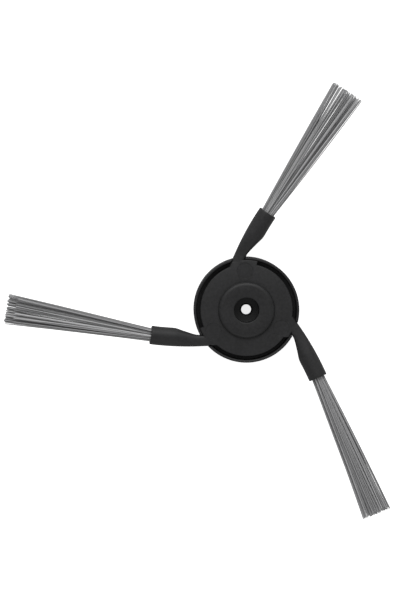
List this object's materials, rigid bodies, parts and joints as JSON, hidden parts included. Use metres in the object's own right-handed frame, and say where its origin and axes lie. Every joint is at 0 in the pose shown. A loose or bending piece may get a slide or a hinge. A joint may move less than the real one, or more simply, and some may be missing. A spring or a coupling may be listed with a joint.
{
  "type": "robot vacuum side brush",
  "caption": "Round screw-on hub with a soft ring whose swept arms end in sleeves, each gripping a fanned bristle tuft; the side brush of a robot vacuum.",
  "frame": {"origin": "on the spin axis, at the mouth of the drive socket, in the plane of the hub's back", "axes": "+Z along the spin axis from the robot's side to the floor's side, +X to the right and +Y up in the picture"},
  "size_m": [0.1354, 0.1534, 0.0184],
  "materials": {
    "hub_plastic": "fine spark-eroded black",
    "soft_rubber": "matt black",
    "bristle": "satin grey nylon"
  },
  "bodies": {
    "root": {"hub": "hub_plastic", "arm_ring": "soft_rubber", "tuft_top": "bristle", "tuft_left": "bristle", "tuft_right": "bristle"}
  },
  "joints": []
}
